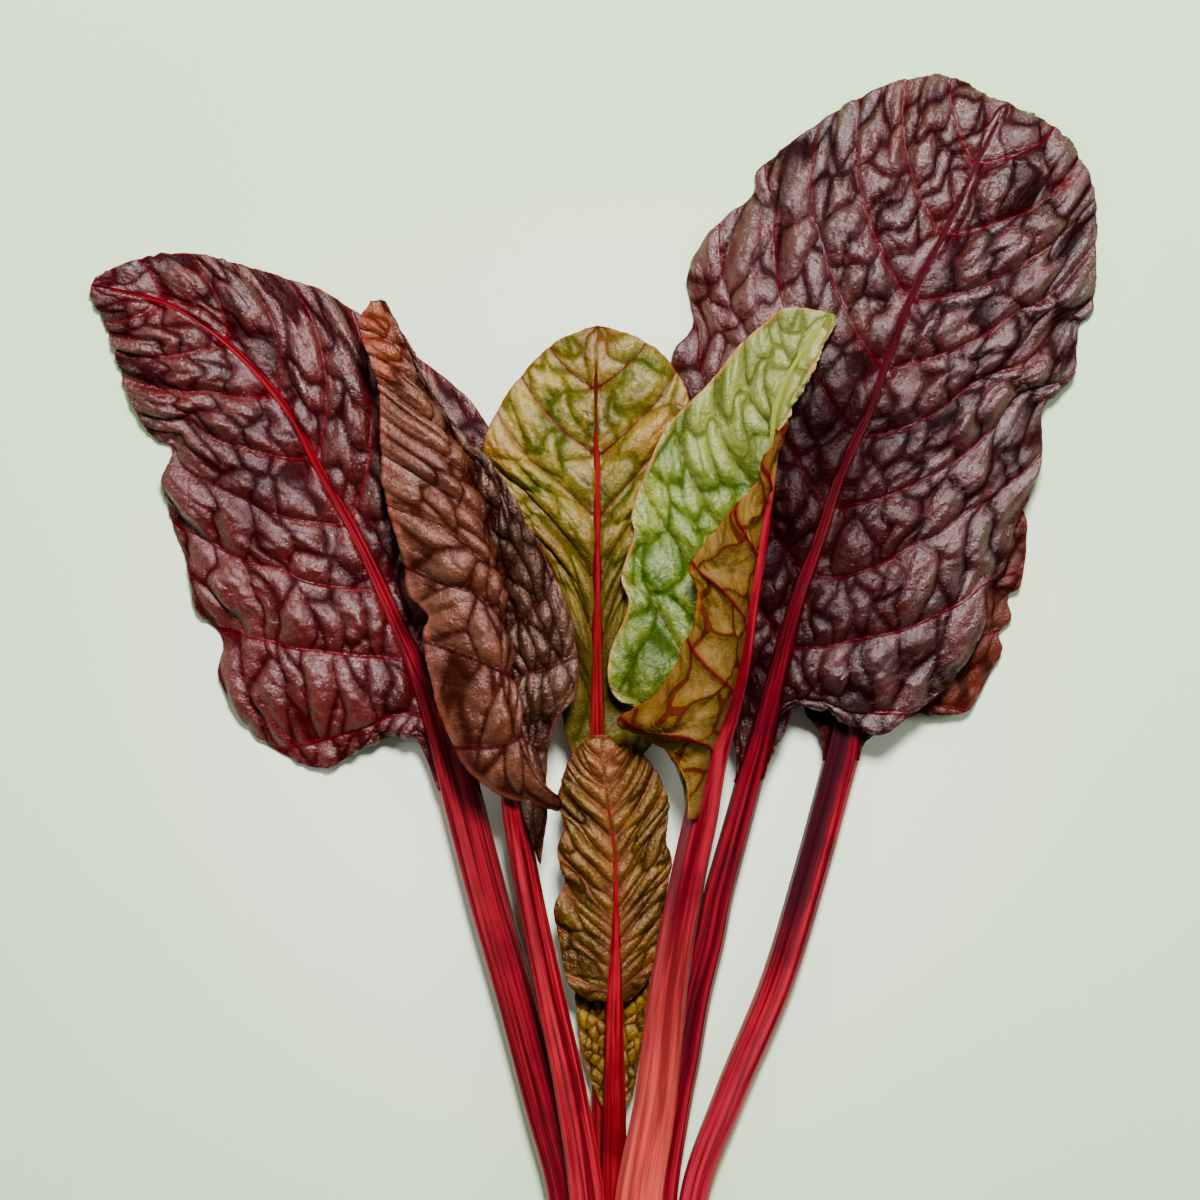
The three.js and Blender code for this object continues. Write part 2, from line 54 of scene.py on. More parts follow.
# Every leaf lists its midrib, left margin and right margin from tip to base, its petiole from there
# to the cut end, and heights evenly spaced from tip to base. Rib and petiole sizes are half width
# and depth. An arch lifts the middle of a half across (to the right) and up, in shares of its width.
# Roll turns the midrib on its side, in degrees, and centred says that the halves meet it at its
# middle. Veins are the side veins of one half, sweep is how far its rows of points lean towards the
# tip, and ripples are the waves of a margin and their height.
LEAVES = [
    {
        "name": "left_leaf",
        "midrib": [
            [-179, 355.5], [-166.5, 353], [-153, 349.5], [-142, 343.5], [-126.5, 331], [-110, 312],
            [-98, 290], [-84.5, 265.5], [-70.5, 235], [-61.5, 214.5], [-53.5, 192.5], [-48.5, 175],
        ],
        "left": [
            [-179.5, 352], [-175.5, 345], [-171, 333.5], [-165, 314.5], [-157, 302], [-150.5, 298],
            [-153.5, 286], [-151, 273], [-144.5, 255], [-142, 242], [-132.5, 230], [-135, 220.5],
            [-128.5, 206.5], [-115.5, 192.5], [-97.5, 186], [-84.5, 192], [-71, 198.5], [-66, 196],
            [-62.5, 188], [-59.2, 179],
        ],
        "right": [
            [-177.5, 358.5], [-164, 364.5], [-149, 367], [-133.5, 365], [-113, 359], [-94.5, 352],
            [-68.5, 334], [-56, 324.5], [-45, 314], [-39, 304.5], [-35, 287], [-33.5, 259],
            [-35, 231], [-37, 206.5], [-38, 190], [-39.5, 178],
        ],
        "petiole": [[-48.5, 175], [-39.5, 140], [-29.5, 105], [-19.5, 67], [-11.5, 35], [-11.5, 0]],
        "mid_heights": [3, 7, 8.5, 9, 9, 9],
        "left_heights": [2, 2.6, 1.8, 1.8, 2.7, 6],
        "right_heights": [3, 4, 4, 3.5, 4.5, 7],
        "petiole_heights": [9, 9, 9, 9],
        "left_arch": [0, 0.1],
        "right_arch": [0, 0.1],
        "rib": [[0.7, 1], [1.4, 2.6], [2, 4], [3.5, 6.5], [7.5, 8.5]],
        "petiole_size": [[7.5, 8.5], [7.5, 8.9], [7.5, 9]],
        "veins": 9,
        "sweep": 0.17,
        "ripples": 7,
        "ripple": 1.3,
    },
    {
        "name": "folded_bronze_leaf",
        "midrib": [
            [-77, 349.8], [-69.5, 333.5], [-61.5, 318.5], [-51, 301], [-43, 280], [-38, 259], [-35, 238],
            [-33, 217], [-32, 200], [-31, 184],
        ],
        "left": [
            [-80, 349], [-84, 341], [-80.5, 330], [-76.5, 316.5], [-76.5, 307], [-74.5, 279],
            [-69.5, 264], [-66.5, 247.5], [-59.5, 239], [-61.5, 235], [-57.5, 212], [-53, 198.5],
            [-46.5, 186], [-36, 178], [-25, 174.2], [-14.5, 171.5],
        ],
        "right": [
            [-74.5, 349], [-63, 328], [-54, 311.5], [-44.5, 297.5], [-35, 289], [-26, 273],
            [-17.5, 257.5], [-12, 243.5], [-8.5, 230], [-8.5, 212], [-14.5, 205], [-17, 197],
            [-18.5, 186], [-18.2, 172], [-21, 153],
        ],
        "petiole": [
            [-31, 184], [-29.3, 168], [-26.8, 154], [-24.2, 140], [-17, 105], [-10.5, 74.5], [-4.5, 35],
            [-3.5, 0],
        ],
        "mid_heights": [20, 20, 20, 20, 21, 22],
        "left_heights": [22, 25, 26, 27, 26.5, 26.5],
        "right_heights": [21, 22, 24, 24, 23.5, 22],
        "petiole_heights": [22, 22, 20.5, 20.5],
        "left_arch": [0.34, 0.3],
        "right_arch": [0, 0.16],
        "rib": [[0.6, 0.8], [1, 1.8], [1.6, 3], [2.6, 4.6], [4.4, 7]],
        "petiole_size": [[4.4, 7], [5.4, 8], [6.8, 8.5]],
        "veins": 10,
        "sweep": 0.14,
        "ripples": 6,
        "ripple": 0.8,
    },
    {
        "name": "middle_olive_leaf",
        "midrib": [[-1, 341], [-1.5, 315], [-1, 287], [-1, 259], [-1, 231], [-1, 205], [-1, 186]],
        "left": [
            [-5, 340], [-16, 335], [-26.5, 325], [-34.5, 314], [-41, 297], [-37, 290],
            [-28.5, 275], [-18.5, 260], [-14.5, 245], [-13, 225], [-13, 208], [-11.5, 196],
            [-6.5, 186.5],
        ],
        "right": [
            [3, 340.5], [17.5, 334.5], [26.5, 325.5], [31, 315], [30.5, 301], [26.5, 287],
            [19.5, 273], [13.5, 259], [11, 241.5], [11, 224], [14, 207], [18, 195],
            [10, 188], [5, 186],
        ],
        "petiole": [[-1, 186], [-1, 157.5], [-0.5, 105], [-0.5, 35], [-0.5, 0]],
        "mid_heights": [13, 14, 14.5, 14.5, 13.5, 12],
        "left_heights": [11, 12, 13, 13, 12.5, 12],
        "right_heights": [11, 12.5, 13.5, 13, 12, 12],
        "petiole_heights": [12, 8, 5.8, 5.7, 5.7, 5.7],
        "left_arch": [0, 0.07],
        "right_arch": [0, 0.07],
        "rib": [[0.6, 0.8], [1.2, 1.6], [1.7, 2.4], [2.3, 3.2], [3.2, 5]],
        "petiole_size": [[3.2, 5], [3.1, 5.6], [3, 5.6]],
        "veins": 7,
        "sweep": 0.17,
        "ripples": 5,
        "ripple": 0.6,
    },
    {
        "name": "folded_green_leaf",
        "midrib": [
            [80.3, 345], [72, 333], [65, 321], [61.5, 310], [61, 301.5], [59.5, 290], [56.5, 270],
            [52, 242], [49.5, 225], [46, 210], [39.5, 189], [35.2, 168],
        ],
        "left": [
            [77, 346], [63.5, 346.5], [58, 342], [50.5, 335.5], [37, 319.5], [24, 306.5],
            [16.5, 291], [11, 273.5], [12, 269], [7.5, 252.5], [10, 244], [3.5, 226.5], [3, 216],
            [6.5, 210], [14, 207], [21.5, 193], [26, 181], [26.6, 169],
        ],
        "right": [
            [83, 343], [80, 337], [74.5, 325], [67.5, 312], [62, 303], [59, 295], [51, 282],
            [41.5, 271.5], [33.5, 261], [31.5, 255], [33.5, 249], [32, 235], [26, 223],
            [18, 211.5], [6.5, 202.5], [12.5, 199.5], [21.5, 192.5], [26.6, 181], [27, 169],
        ],
        "petiole": [[35.2, 168], [31.3, 150], [24.5, 111], [20, 71], [14, 35], [13.5, 0]],
        "mid_heights": [22, 22, 22, 22, 21, 20],
        "left_heights": [20, 18.5, 18.5, 18.5, 17.5, 15],
        "right_heights": [22, 28, 31, 29, 26, 25],
        "petiole_heights": [20, 18.8, 18.2, 18, 18],
        "left_arch": [0, -0.02],
        "right_arch": [0.12, 0.34],
        "roll": 100,
        "centred": True,
        "rib": [[0.8, 1.2], [1.2, 3], [1.8, 5], [2.4, 6.5], [4.6, 10]],
        "petiole_size": [[4.6, 10], [5, 12.5], [5.4, 15.5]],
        "veins": 8,
        "sweep": 0.14,
        "ripples": 6,
        "ripple": 0.7,
    },
    {
        "name": "right_leaf",
        "midrib": [
            [143.3, 420], [131.5, 396.5], [121, 374.5], [110.5, 354.5], [102, 333.5], [93.5, 309.5],
            [84.5, 290], [76.5, 266], [68.5, 243.5], [62, 218.5], [56, 194.5], [51.5, 178.5],
        ],
        "left": [
            [139, 421], [124, 429], [115.5, 429.5], [100, 426], [84, 417.5], [68.5, 407],
            [55.5, 395.5], [54, 388.5], [40, 375.5], [31, 360.5], [31.5, 350], [32.5, 342],
            [26, 332], [24, 322], [21, 308], [19.5, 287], [21, 266], [26.5, 241.5],
            [35, 217], [41.5, 199.5], [44, 183],
        ],
        "right": [
            [147, 418], [159.5, 411.5], [167, 404], [174.5, 387], [174.5, 369.5], [172.5, 345],
            [168.5, 342], [166.5, 323], [155.5, 313], [155.5, 296.5], [151, 282], [145, 269.5],
            [142, 256.5], [136.5, 250.5], [135, 237.5], [124, 217], [110.5, 206], [97.5, 198],
            [87.5, 202.5], [77.5, 209.5], [70, 208.5], [66.8, 199], [61.5, 191.5], [58.6, 183],
        ],
        "petiole": [
            [51.5, 178.5], [44.9, 154], [41.2, 140], [38.4, 126], [33.1, 105], [29.4, 84], [26.6, 70],
            [21.6, 35], [20.8, 0],
        ],
        "mid_heights": [5, 11, 15, 17, 15, 10],
        "left_heights": [2.6, 2.4, 2, 2.3, 3.6, 8],
        "right_heights": [2.4, 1.9, 5.6, 11, 13, 11],
        "petiole_heights": [10, 8.5, 8.1, 8.1],
        "left_arch": [0, 0.1],
        "right_arch": [0, 0.09],
        "rib": [[0.8, 1], [1.4, 2.6], [1.9, 4], [3, 6], [5, 8]],
        "petiole_size": [[5, 8], [6, 8], [5.2, 8]],
        "veins": 10,
        "sweep": 0.16,
        "ripples": 8,
        "ripple": 1.1,
    },
    {
        "name": "back_right_leaf",
        "midrib": [[122, 297.5], [108.5, 269.5], [98, 241.5], [89.5, 213.5], [84.5, 189]],
        "left": [
            [117, 297], [106, 293], [94.5, 280], [86, 259], [79, 238], [74, 217], [72, 206],
            [75.2, 199], [75.8, 188.5],
        ],
        "right": [
            [126, 297], [135, 294], [145, 283.5], [149.5, 274], [150, 264], [147.5, 250],
            [143.5, 246.5], [144.5, 238], [140, 233], [141.5, 228], [136, 217], [129, 206],
            [118.5, 204.5], [110, 204.5], [100, 198], [94.5, 195.5], [93, 188.5],
        ],
        "petiole": [[84.5, 189], [74, 150], [62, 110.5], [45.5, 71], [33, 35], [32.3, 0]],
        "mid_heights": [5, 6, 6.5, 7, 7.5],
        "left_heights": [4, 4, 4, 5, 7],
        "right_heights": [4, 3, 3, 4, 7],
        "petiole_heights": [7.5, 8.1, 8.1],
        "left_arch": [0, 0.03],
        "right_arch": [0, 0.06],
        "rib": [[0.7, 1], [1.4, 2.6], [3, 5], [6.2, 7]],
        "petiole_size": [[6.2, 7], [6, 8], [5, 8]],
        "veins": 6,
        "sweep": 0.14,
        "ripples": 6,
        "ripple": 0.8,
    },
    {
        "name": "small_front_leaf",
        "midrib": [
            [0.5, 198], [1.5, 185], [3, 172], [5, 158], [5.5, 145], [5.5, 131.5], [5.3, 118],
            [5, 105],
        ],
        "left": [
            [-2, 197.5], [-6, 195], [-11, 188.5], [-14.5, 176], [-12.5, 164.5], [-15, 157.5],
            [-12.5, 146], [-16, 137], [-13.5, 122.5], [-11, 111], [-5, 105.5], [0.5, 104.5],
        ],
        "right": [
            [3, 197.5], [7, 194], [11.5, 194], [19.5, 185], [24, 173.5], [23, 161], [25, 155],
            [24.5, 149.5], [22.5, 136], [20.5, 122.5], [17, 112], [12, 106], [9, 104.5],
        ],
        "petiole": [[5, 105], [5, 87], [5, 63], [4.6, 35], [4.6, 0]],
        "mid_heights": [19, 18.5, 17, 15, 13.5],
        "left_heights": [18, 16.5, 15, 13.5, 13],
        "right_heights": [18, 15.5, 12.5, 11.5, 12],
        "petiole_heights": [13.5, 12.5, 11.2, 11.2],
        "left_arch": [0, 0.08],
        "right_arch": [0, 0.08],
        "rib": [[0.5, 0.7], [0.8, 1.2], [1.4, 2.2], [3.1, 4]],
        "petiole_size": [[3.1, 4], [4.4, 4.6], [4.9, 4.8]],
        "veins": 10,
        "sweep": 0.22,
        "ripples": 8,
        "ripple": 0.5,
    },
    {
        "name": "tiny_leaf",
        "midrib": [[5, 123], [5, 91], [5, 64]],
        "left": [[1, 122.5], [-4, 119], [-8.5, 108.5], [-7.5, 96], [-6.5, 87], [-3.5, 77], [1.5, 65]],
        "right": [[9, 122.5], [14, 119], [17.5, 109], [16, 97.5], [14, 87], [12, 75], [8.5, 65]],
        "petiole": [[5, 64], [7, 45], [8.6, 35], [8.6, 0]],
        "mid_heights": [7.6, 7.6, 7.2, 6.8],
        "left_heights": [7.6, 7.6, 7.2, 6.8],
        "right_heights": [7.6, 7.6, 7.2, 6.8],
        "petiole_heights": [6.8, 5, 4, 4],
        "left_arch": [0, 0.03],
        "right_arch": [0, 0.03],
        "rib": [[0.5, 0.6], [0.7, 0.9], [1.2, 1.4]],
        "petiole_size": [[1.2, 1.4], [1.8, 3.4], [2, 4]],
        "veins": 6,
        "sweep": 0.1,
        "ripples": 6,
        "ripple": 0.3,
    },
]

# What the surface of each leaf shows. Grid: lines lengthwise and across. Sweep: how far the side
# veins of the left and right halves lean towards the tip, as a share of the leaf's length, and how
# much more they do towards the base. Bow: how late they bend that way. Ridge: the spacing of the
# bulges between two side veins. Swell: how high they rise. Crinkle: waves of the margin. Sizes are
# in millimetres.
SURFACE_PARTS = ("grid", "sweep", "bow", "ridge", "swell", "crinkle")
SURFACES = {
    "left_leaf": ((250, 170), (0.34, 0.24, 0), 1.15, 9, 5.6, 0.9),
    "folded_bronze_leaf": ((230, 150), (0.26, 0.2, 0), 1.2, 7, 4.4, 0.9),
    "middle_olive_leaf": ((200, 130), (0.22, 0.22, 0), 1.2, 13, 5.0, 0.4),
    "folded_green_leaf": ((240, 160), (0.22, 0.16, 0), 1.3, 11, 6.0, 0.9),
    "right_leaf": ((270, 180), (0.24, 0.28, 0), 1.4, 9, 5.8, 0.9),
    "back_right_leaf": ((150, 110), (0.18, 0.18, 0), 1.3, 8, 3.2, 1.2),
    "small_front_leaf": ((200, 110), (0.16, 0.16, 0.16), 1.0, 15, 3.0, 0.9),
    "tiny_leaf": ((120, 70), (0.05, 0.05, 0.15), 1.0, 3, 2.2, 0.4),
}

# Steps of a curve between two of its points.
CURVE_STEPS = 24

# How a blade sits on its midrib. Its rows of points lean towards the tip, and the higher the bow,
# the later. The inner part of a half, at most a share of its width, is let into the midrib, and
# lies under its top by a share of its depth. A midrib rolled on its side takes in a share of its
# size instead.
ROW_BOW = 1.3
MOST_LET_IN = 0.8
LET_IN_DEPTH = 0.3
ROLLED_REACH = 0.62
# How far to both sides of a place the midrib's direction is measured, as a share of its length.
DIRECTION_STEP = 0.02
# Leaves whose blade runs out into the stalk at its base, instead of ending in lobes, where along
# the blade that starts, and how late it gives way.
RUNNING_DOWN = {"left_leaf", "folded_green_leaf", "right_leaf", "back_right_leaf"}
RUN_OUT_START, RUN_OUT_BOW = 0.9, 1.5
# Where the ripples of each half's margin start.
RIPPLE_STARTS = {"left": 0, "right": 2}

# Sizes of patterns on the real thing, in millimetres from one mark to the next. On a blade: paler
# and deeper patches, specks, wrinkles between the smallest veins, bends of a side vein, bends in a
# row of bulges, and crinkles. The wrinkles are about twice as wide as real ones, so that they show.
TONE_PATCH, SPECK, WRINKLE = 16.7, 2.4, 0.9
VEIN_WANDER, BULGE_BEND, CRINKLE = 17, 11, 6
# On a stalk: fibres, darker patches, bends of a ridge, and the bundles of fibres in a cut end.
FIBRE_WIDTH, FIBRE_LENGTH = 1.7, 100.0
STALK_PATCH, RIDGE_WAVER, FIBRE_BUNDLE = 16.7, 60, 2.4
# On the table: clouds in the paint.
PAINT_CLOUD = 330.0

# The bulges of a blade. Side veins stray, rows of bulges bend, and rows slant from one side vein to
# the next, by shares of their spacing. The row shift keeps neighbouring rows from being alike.
VEIN_STRAY, ROW_BEND, ROW_SLANT = 0.07, 0.4, 0.9
BULGES_ACROSS, ROW_SHIFT = 0.95, 37.7
# Radius of a bulge's dome and width of the creases beside it, as shares of a bulge.
DOME_RADIUS, CREASE_WIDTH = 0.75, 0.6
# Shares of the swell that come from the arch between two side veins, from the creases and from the
# domes, how much of a dome the small bulges on it shape, and how far all of it is sunk.
ARCH_SHARE, CREASE_SHARE, DOME_SHARE = 0.26, 0.34, 0.4
SMALL_BULGE_SHARE, SUNK_SHARE = 0.2, 0.54
CRINKLE_SHARE = 0.11
# Depths at which the two halves read the noise, so that they differ.
NOISE_DEPTHS = {"left": 3.7, "right": 9.1}

# Where a blade is painted darker, mostly as painted shade where other leaves lie over it and partly as
# deeper pigment, and where it is tinged: middle, radius and strength of each patch.
SHADE_AND_PIGMENT_PATCHES = {
    "left_leaf": [(-42, 240, 22, 0.8), (-48, 200, 14, 0.8), (-122, 288, 24, 0.35)],
    "folded_bronze_leaf": [
        (-26, 262, 16, 0.6), (-22, 200, 12, 0.4), (-21, 165, 12, 0.9), (-31, 240, 6, 0.6),
    ],
    "middle_olive_leaf": [(-1, 222, 42, 1.0), (27, 262, 18, 0.6), (-30, 262, 14, 0.4)],
    "folded_green_leaf": [(14, 214, 14, 0.5), (54, 292, 10, 0.5), (10, 232, 8, 0.4)],
    "right_leaf": [(64, 268, 36, 1.0), (50, 215, 26, 1.0), (80, 306, 27, 1.0)],
    "back_right_leaf": [(84, 205, 22, 1.0), (120, 240, 20, 0.6)],
    "small_front_leaf": [(5, 104, 14, 0.7)],
    "tiny_leaf": [(5, 122, 14, 0.9), (5, 80, 8, 0.4)],
}
TINGED_PATCHES = {
    "left_leaf": [(-132, 240, 34, 0.8), (-100, 200, 30, 0.7)],
    "folded_bronze_leaf": [(-80, 340, 13, 1.0), (-77, 326, 6, 0.8)],
    "middle_olive_leaf": [
        (28, 300, 14, 0.8), (-38, 296, 9, 0.6), (0, 338, 9, 0.5), (-20, 262, 10, 0.5),
    ],
    "folded_green_leaf": [(70, 330, 26, 0.8), (40, 306, 16, 0.5)],
    "right_leaf": [(40, 350, 26, 0.8), (92, 260, 18, 0.5), (110, 400, 26, 0.3)],
    "back_right_leaf": [(138, 216, 26, 0.8)],
    "small_front_leaf": [(0, 190, 12, 0.6), (-12, 150, 10, 0.6), (20, 120, 12, 0.6)],
}
# Where a blade is pressed flat by the leaf on top of it, in the same way.
PRESSED_PATCHES = {
    "right_leaf": [(64, 333, 20, 0.9), (48, 300, 16, 0.6)],
}

# A stalk's points round its section and along its midrib and petiole, and where the fine midrib
# starts, as a share of its length.
STALK_CORNERS = 44
MIDRIB_STATIONS, PETIOLE_STATIONS = 110, 90
MIDRIB_START = 0.03
# Its ridges: how many, how deep in millimetres, and the half width under which they get shallower.
RIDGES, RIDGE_DEPTH, RIDGED_WIDTH = 7, 0.6, 4
# How far a midrib rolled on its side stands up past its middle line, as a share of its depth.
ROLLED_RISE = 0.45

# In the materials, in millimetres: the spacing of side veins from which on their lines are full
# width, how high wrinkles, fibres and bundles of fibres stand, over what length the foot's colour
# comes in, and over what length and width a wing ends.
OPEN_INTERVAL = 18.0
WRINKLE_HEIGHT, FIBRE_HEIGHT, BUNDLE_HEIGHT = 0.42, 0.6, 0.3
FOOT_FADE, WING_FADE, WING_EDGE = 120.0, 40.0, 2.5
# Deep tone, bulges, creases, veins, margin and tinge of the upper side of each blade. The crease colour is
# painted shade in the creases and in the shaded patches, and partly a net of fine veins.
UPPER_COLOURS = {
    "left_leaf": ("#280204", "#541210", "#160104", "#54000d", "#48060e", "#580808"),
    "folded_bronze_leaf": ("#381206", "#60301c", "#1c0402", "#300608", "#743428", "#7c2e08"),
    "middle_olive_leaf": ("#364200", "#947824", "#2c2000", "#48060a", "#703a14", "#84420c"),
    "folded_green_leaf": ("#2c4c00", "#7c8628", "#2c2c00", "#483c08", "#a4703c", "#8c8c48"),
    "right_leaf": ("#1e0304", "#4a1412", "#100103", "#4a000b", "#3c0a0c", "#500b0a"),
    "back_right_leaf": ("#2c0503", "#50180e", "#160202", "#4c0408", "#58160e", "#5c220a"),
    "small_front_leaf": ("#2c1a00", "#644200", "#140800", "#904a38", "#4c1c04", "#582a04"),
    "tiny_leaf": ("#4a2c00", "#846008", "#1e0e00", "#5a2010", "#643c0a", "#643c0a"),
}
# The same for right halves that differ from the left ones.
RIGHT_COLOURS = {
    "folded_bronze_leaf": ("#1e0a04", "#4c2a18", "#140502", "#2c0606", "#6c342a", "#6c342a"),
    "folded_green_leaf": ("#4c5c0c", "#928e3e", "#383404", "#5c5414", "#b07c54", "#8c8c48"),
}
# And of the undersides.
UNDER_COLOURS = {
    "left_leaf": ("#3c0e0c", "#5c2420", "#3c040a", "#640410", "#5a1a16", "#5a1a16"),
    "folded_bronze_leaf": ("#6a1402", "#8c3008", "#4c0404", "#5c0408", "#984028", "#984028"),
    "middle_olive_leaf": ("#6c6424", "#8c7c3c", "#6a1410", "#780a0e", "#8c6020", "#8c6020"),
    "folded_green_leaf": ("#503a04", "#745410", "#400404", "#4c0006", "#80480c", "#5c1408"),
    "right_leaf": ("#300806", "#501e1a", "#3a0206", "#54000a", "#4c1410", "#4c1410"),
    "back_right_leaf": ("#501408", "#6c2c18", "#500606", "#6c0408", "#702418", "#702418"),
    "small_front_leaf": ("#5c4c14", "#786424", "#6a1c14", "#780c10", "#7c5424", "#7c5424"),
    "tiny_leaf": ("#5c4c14", "#786424", "#6a1c14", "#780c10", "#7c5424", "#7c5424"),
}
# Roughness, shine, how far the shine takes the colour of the tissue, how far a crease reaches, and how
# strongly the creases are painted dark and the side veins are coloured. The dark in the creases is painted
# shade, and partly a net of fine veins.
UPPER_LOOKS = {
    "left_leaf": (0.22, 1.0, 0.15, 0.35, 0.6, 0.9),
    "folded_bronze_leaf": (0.23, 0.95, 0.45, 0.35, 0.6, 0.8),
    "middle_olive_leaf": (0.26, 0.95, 0.3, 0.3, 0.35, 0.9),
    "folded_green_leaf": (0.25, 0.95, 0.15, 0.28, 0.5, 0.5),
    "right_leaf": (0.21, 1.0, 0.1, 0.35, 0.6, 0.9),
    "back_right_leaf": (0.28, 0.5, 0.3, 0.4, 0.7, 0.7),
    "small_front_leaf": (0.24, 0.9, 0.6, 0.25, 0.6, 0.65),
    "tiny_leaf": (0.27, 0.5, 0.4, 0.45, 0.8, 0.5),
}
# The same for every underside.
UNDER_LOOK = (0.5, 0.4, 0.3, 0.16, 0.85, 0.95)
# Deep tone, light fibres and darker patches of each stalk.
STALK_COLOURS = {
    "left_leaf": ("#3c0007", "#86041a", "#2c000a"),
    "folded_bronze_leaf": ("#440008", "#a40820", "#300008"),
    "middle_olive_leaf": ("#480006", "#7c0e14", "#480a0a"),
    "folded_green_leaf": ("#50000b", "#900c20", "#44000b"),
    "right_leaf": ("#340008", "#780014", "#240010"),
    "back_right_leaf": ("#50000a", "#980a20", "#26020e"),
    "small_front_leaf": ("#54000a", "#900c1c", "#440009"),
    "tiny_leaf": ("#480604", "#7c160c", "#340804"),
}
# Colour of the midrib's tip, where it has gone over into the stalk's own, colour at the cut end, and
# where that begins, both in millimetres from the tip.
END_COLOURS = {
    "left_leaf": ("#66000e", 200, "#8c0c22", 320),
    "folded_bronze_leaf": ("#300e08", 150, "#a01226", 260),
    "middle_olive_leaf": ("#400a06", 50, "#8c0c10", 260),
    "folded_green_leaf": ("#7a8634", 70, "#c4443a", 195),
    "right_leaf": ("#380008", 250, "#980c24", 320),
    "back_right_leaf": ("#2a0510", 150, "#a01a30", 180),
    "small_front_leaf": ("#601818", 60, "#7c0518", 150),
    "tiny_leaf": ("#5c1e10", 40, "#70160c", 120),
}
# Stalks with a narrow wing of leaf tissue down one side: its colour, and where it ends in
# millimetres from the tip.
WINGS = {"back_right_leaf": ("#260610", 200)}
# Colour slots of each leaf's stalk and blade.
SLOTS = {
    "left_leaf": ("stalk_crimson", "blade_burgundy"),
    "folded_bronze_leaf": ("stalk_crimson", "blade_bronze"),
    "middle_olive_leaf": ("stalk_crimson", "blade_olive"),
    "folded_green_leaf": ("stalk_coral", "blade_green"),
    "right_leaf": ("stalk_crimson", "blade_dark_burgundy"),
    "back_right_leaf": ("stalk_crimson", "blade_rusty"),
    "small_front_leaf": ("stalk_crimson", "blade_olive_bronze"),
    "tiny_leaf": ("stalk_crimson", "blade_olive_bronze"),
}

# The picture, in its own pixels: how wide and high it is, how many millimetres of leaf one pixel
# shows, and the row that the stalks' cut ends would lie on, below its lower edge.
PICTURE_PIXELS = 1200
PIXEL = 0.35
CUT_END_ROW = 1300
# Width of the camera's sensor in millimetres, and in metres its height over the table, the height of the
# leaves that are seen at true size, and the radius of the pool of light painted on the table.
SENSOR_WIDTH = 36
CAMERA_HEIGHT, LEAF_HEIGHT = 2.0, 0.012
PAINTED_LIGHT_RADIUS = 0.26
# Softboxes: name, place and size in metres, and power in watts.
LIGHTS = [
    ("top_softbox", (0.15, 0.95, 1.4), 0.4, 72),
    ("left_softbox", (-1.2, 0.3, 0.9), 0.5, 6),
    ("right_softbox", (1.2, 0.3, 0.9), 0.5, 7),
]


def along(values, place):
    """Smooth value at places from 0 to 1 along a list of evenly spaced values."""
    values = np.asarray(values, float)
    span = len(values) - 1
    scaled = np.clip(place, 0, 1) * span
    index = np.minimum(np.floor(scaled).astype(int), span - 1)
    share = scaled - index
    before, start = values[np.maximum(index - 1, 0)], values[index]
    end, after = values[index + 1], values[np.minimum(index + 2, span)]
    slope_start, slope_end = (end - before) / 2, (after - start) / 2
    bend = 3 * (end - start) - 2 * slope_start - slope_end
    twist = 2 * (start - end) + slope_start + slope_end
    return start + share * (slope_start + share * (bend + share * twist))


def between(k, start, end, first, second):
    """The point at k on the line from a first point at start to a second one at end."""
    return (end - k) / (end - start) * first + (k - start) / (end - start) * second


def outline_curve(points, heights):
    """A centripetal Catmull-Rom curve through outline points, read by its share of length."""
    points = np.asarray(points, float)
    padded = np.vstack([2 * points[0] - points[1], points, 2 * points[-1] - points[-2]])
    dense = []
    for first in range(len(points) - 1):
        p0, p1, p2, p3 = padded[first:first + 4]
        gaps = [np.linalg.norm(b - a) ** 0.5 for a, b in ((p0, p1), (p1, p2), (p2, p3))]
        k0, k1, k2, k3 = np.cumsum([0] + gaps)
        k = np.linspace(k1, k2, CURVE_STEPS, endpoint=False)[:, None]
        a1 = between(k, k0, k1, p0, p1)
        a2 = between(k, k1, k2, p1, p2)
        a3 = between(k, k2, k3, p2, p3)
        b1 = between(k, k0, k2, a1, a2)
        b2 = between(k, k1, k3, a2, a3)
        dense.append(between(k, k1, k2, b1, b2))
    dense = np.vstack(dense + [points[-1:]])
    lengths = np.concatenate([[0], np.cumsum(np.linalg.norm(np.diff(dense, axis=0), axis=1))])
    shares = lengths / lengths[-1]

    def at(place):
        place = np.clip(place, 0, 1)
        x = np.interp(place, shares, dense[:, 0])
        y = np.interp(place, shares, dense[:, 1])
        return np.stack([x, y, along(heights, place)], axis=-1)

    at.length = lengths[-1]
    return at


def rib_size(leaf, place):
    """Half width and depth of the midrib."""
    sizes = np.asarray(leaf["rib"], float)
    return along(sizes[:, 0], place), along(sizes[:, 1], place)


